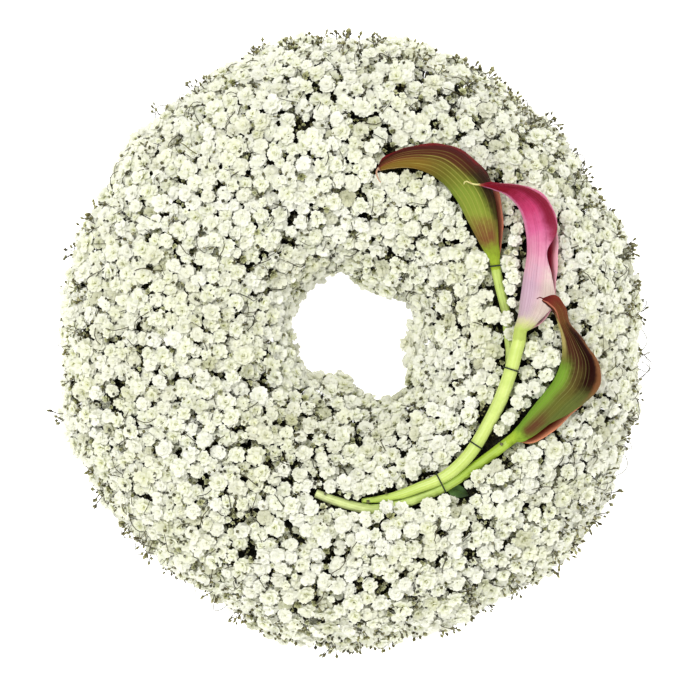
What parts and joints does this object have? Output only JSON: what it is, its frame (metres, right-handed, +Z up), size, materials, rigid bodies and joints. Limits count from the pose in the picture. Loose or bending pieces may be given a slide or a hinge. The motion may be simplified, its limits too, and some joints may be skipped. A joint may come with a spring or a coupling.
{
  "type": "flower wreath",
  "caption": "Round wreath of white baby's breath on a floral foam ring, with three slender calla lilies laid in a curve over one side.",
  "frame": {"origin": "centre of the wreath's ring on the surface that it lies on, under the tray", "axes": "+Z up through the hole, +X to the right and +Y to the top of the picture; the calla lilies lie on the +X side"},
  "size_m": [0.3322, 0.3364, 0.0939],
  "materials": {
    "tray": "dark green moulded plastic, satin",
    "foam": "dark green floral foam, fine open cells, matt",
    "baby_breath": "warm white petals, matt, with olive green stems and calyxes",
    "calla_stem": "smooth yellow-green stem, waxy",
    "spathe_olive": "olive green with a burgundy rim and fine veins, waxy",
    "spathe_pink": "pink with a magenta rim and a pale base, fine veins, waxy",
    "spathe_burgundy": "burgundy brown with a green flank, fine veins, waxy",
    "spadix": "golden yellow, fine-grained, matt",
    "wire": "thin dark green lacquered wire, satin",
    "leaf": "dark green leaf, satin"
  },
  "bodies": {
    "root": {"tray_ring": "tray", "foam_ring": "foam", "spray_hole_01": "baby_breath", "spray_hole_02": "baby_breath", "spray_hole_03": "baby_breath", "spray_hole_04": "baby_breath", "spray_hole_05": "baby_breath", "spray_hole_06": "baby_breath", "spray_hole_07": "baby_breath", "spray_hole_08": "baby_breath", "spray_inner_crown_01": "baby_breath", "spray_inner_crown_02": "baby_breath", "spray_inner_crown_03": "baby_breath", "spray_inner_crown_04": "baby_breath", "spray_inner_crown_05": "baby_breath", "spray_inner_crown_06": "baby_breath", "spray_inner_crown_07": "baby_breath", "spray_inner_crown_08": "baby_breath", "spray_outer_crown_01": "baby_breath", "spray_outer_crown_02": "baby_breath", "spray_outer_crown_03": "baby_breath", "spray_outer_crown_04": "baby_breath", "spray_outer_crown_05": "baby_breath", "spray_outer_crown_06": "baby_breath", "spray_outer_crown_07": "baby_breath", "spray_outer_crown_08": "baby_breath", "spray_outer_crown_09": "baby_breath", "spray_outer_crown_10": "baby_breath", "spray_outer_crown_11": "baby_breath", "spray_outer_crown_12": "baby_breath", "spray_rim_01": "baby_breath", "spray_rim_02": "baby_breath", "spray_rim_03": "baby_breath", "spray_rim_04": "baby_breath", "spray_rim_05": "baby_breath", "spray_rim_06": "baby_breath", "spray_rim_07": "baby_breath", "spray_rim_08": "baby_breath", "spray_rim_09": "baby_breath", "spray_rim_10": "baby_breath", "spray_rim_11": "baby_breath", "spray_rim_12": "baby_breath", "calla_1_stem": "calla_stem", "calla_1_spathe": "spathe_olive", "calla_1_spadix": "spadix", "calla_2_stem": "calla_stem", "calla_2_spathe": "spathe_pink", "calla_2_spadix": "spadix", "calla_3_stem": "calla_stem", "calla_3_spathe": "spathe_burgundy", "calla_3_spadix": "spadix", "wire_pin_1": "wire", "wire_pin_2": "wire", "wire_pin_3": "wire", "wire_pin_4": "wire", "small_leaf": "leaf"}
  },
  "joints": []
}
